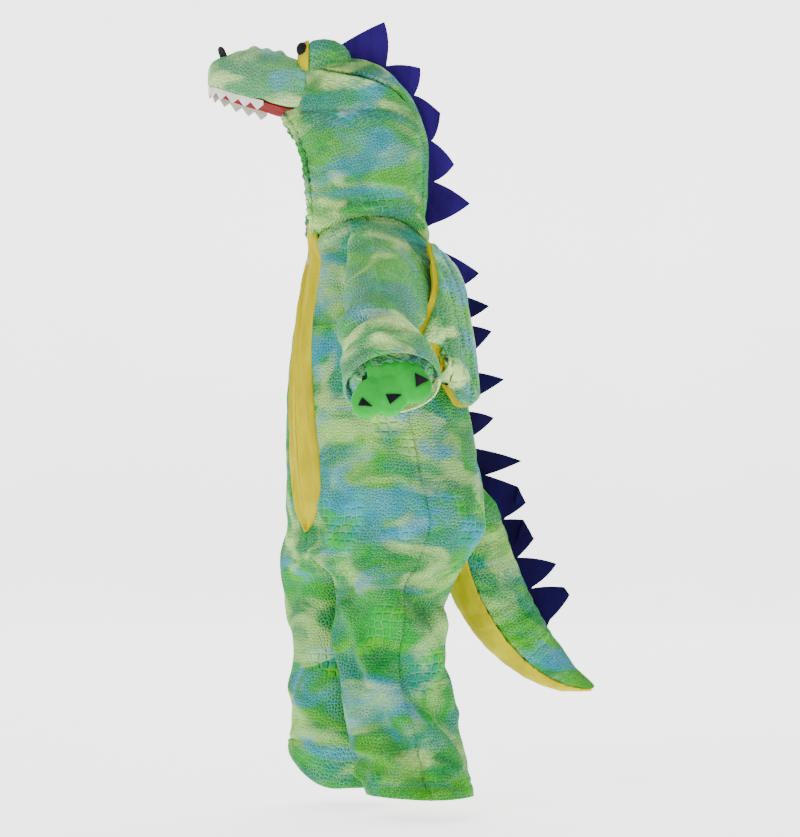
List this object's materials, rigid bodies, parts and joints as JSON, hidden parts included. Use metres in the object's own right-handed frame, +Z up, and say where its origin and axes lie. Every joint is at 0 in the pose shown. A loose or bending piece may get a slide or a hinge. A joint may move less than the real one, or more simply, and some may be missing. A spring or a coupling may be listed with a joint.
{
  "type": "child's dragon costume",
  "caption": "Child's plush dragon jumpsuit in its worn form, with snouted hood, felt spikes, belly leaf, wings, tail and foam paws, hollow and open at face, cuffs and hems.",
  "frame": {"origin": "between the tops of the wearer's shoulders, inside the neck of the costume", "axes": "+Z up from hems to hood; the snout points to -Y; the costume's left sleeve is on the +X side"},
  "size_m": [0.6108, 0.511, 0.9993],
  "materials": {
    "plush_green": "plush embossed with a scale pattern, in blurred patches of lime, green and blue, with a soft sheen",
    "velvet_yellow": "short-pile yellow velvet, matt",
    "felt_purple": "dark violet felt, matt",
    "lining_red": "short-pile red velvet",
    "felt_white": "off-white felt",
    "felt_black": "black felt",
    "foam_green": "smooth green cloth over foam, with a slight sheen",
    "zip_metal": "grey metal zip, satin"
  },
  "bodies": {
    "costume": {"front_left": "plush_green", "back_left": "plush_green", "sleeve_left": "plush_green", "hood_side_left": "plush_green", "hood_crown_left": "plush_green", "eyelid_left": "plush_green", "wing_left": "plush_green", "belly_left": "velvet_yellow", "wing_lining_left": "velvet_yellow", "eyeball_left": "velvet_yellow", "paw_left": "foam_green", "nostril_left": "felt_black", "pupil_left": "felt_black", "nail_left_1": "felt_black", "nail_left_2": "felt_black", "nail_left_3": "felt_black", "front_right": "plush_green", "back_right": "plush_green", "sleeve_right": "plush_green", "hood_side_right": "plush_green", "hood_crown_right": "plush_green", "eyelid_right": "plush_green", "wing_right": "plush_green", "belly_right": "velvet_yellow", "wing_lining_right": "velvet_yellow", "eyeball_right": "velvet_yellow", "paw_right": "foam_green", "nostril_right": "felt_black", "pupil_right": "felt_black", "nail_right_1": "felt_black", "nail_right_2": "felt_black", "nail_right_3": "felt_black", "snout": "plush_green", "tail_top": "plush_green", "face_binding": "plush_green", "tail_under": "velvet_yellow", "mouth_lining": "lining_red", "teeth": "felt_white", "spike_01": "felt_purple", "spike_02": "felt_purple", "spike_03": "felt_purple", "spike_04": "felt_purple", "spike_05": "felt_purple", "spike_06": "felt_purple", "spike_07": "felt_purple", "spike_08": "felt_purple", "spike_09": "felt_purple", "spike_10": "felt_purple", "spike_11": "felt_purple", "spike_12": "felt_purple", "spike_13": "felt_purple", "spike_14": "felt_purple", "spike_15": "felt_purple", "zip_chain": "zip_metal", "zip_slider": "zip_metal"},
    "zip_pull": {"zip_pull_tab": "zip_metal"}
  },
  "joints": [
    {"name": "zip_pull_hinge", "type": "hinge", "parent": "costume", "child": "zip_pull", "pos_m": [0.0191, -0.08288, -0.02083], "axis": [-0.9251, -0.2331, -0.2998], "range_deg": [0, 150]}
  ]
}
